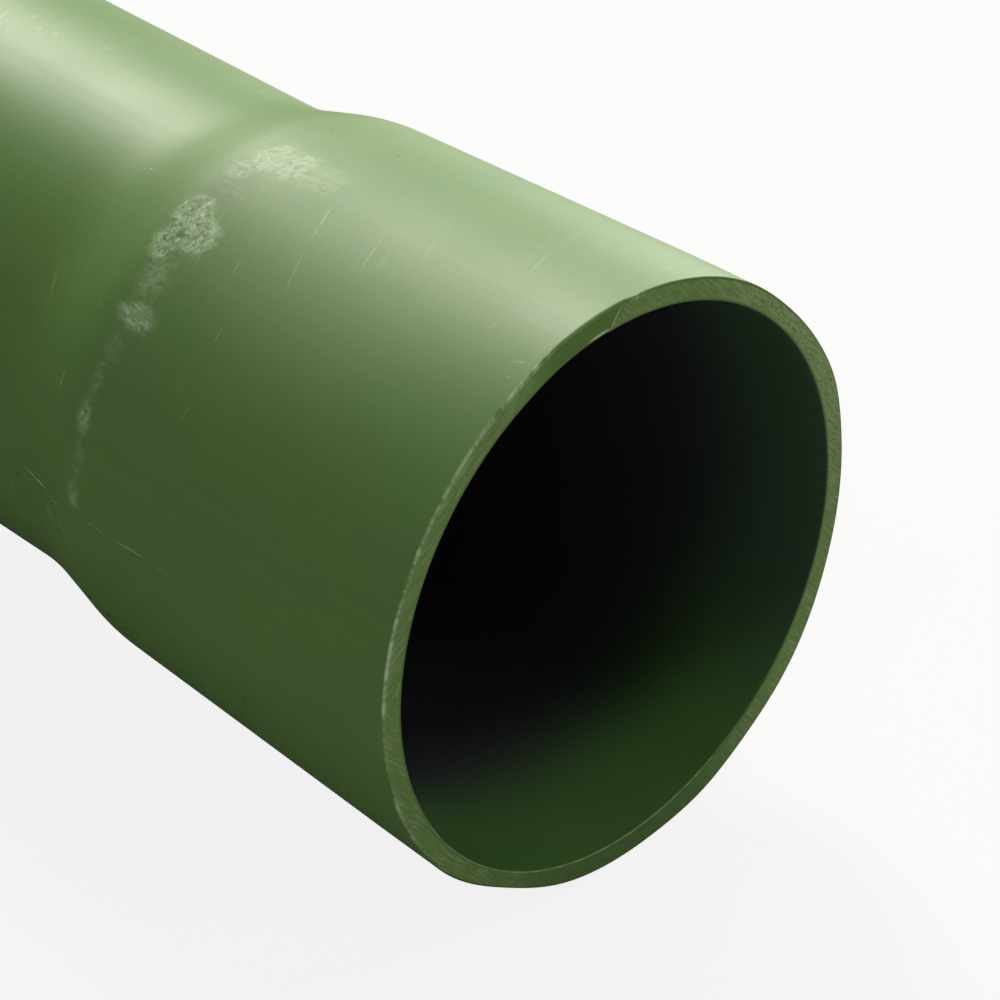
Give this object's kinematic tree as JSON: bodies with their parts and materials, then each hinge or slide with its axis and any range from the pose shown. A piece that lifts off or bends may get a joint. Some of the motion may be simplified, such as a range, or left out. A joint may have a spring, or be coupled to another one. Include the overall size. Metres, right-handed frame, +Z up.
{
  "type": "pvc conduit pipe",
  "caption": "Rigid green PVC electrical conduit pipe: a straight round tube, plain at one end and expanded at the other into a tapered bell socket that takes the next length.",
  "frame": {"origin": "on the floor, under the middle of the pipe's box", "axes": "+X along the pipe towards its belled mouth, +Z up from the floor that it lies on"},
  "size_m": [3.0032, 0.1326, 0.1326],
  "materials": {
    "pvc": "satin green PVC, scuffed, with a rough sawn mouth"
  },
  "bodies": {
    "root": {"conduit_pipe": "pvc"}
  },
  "joints": []
}
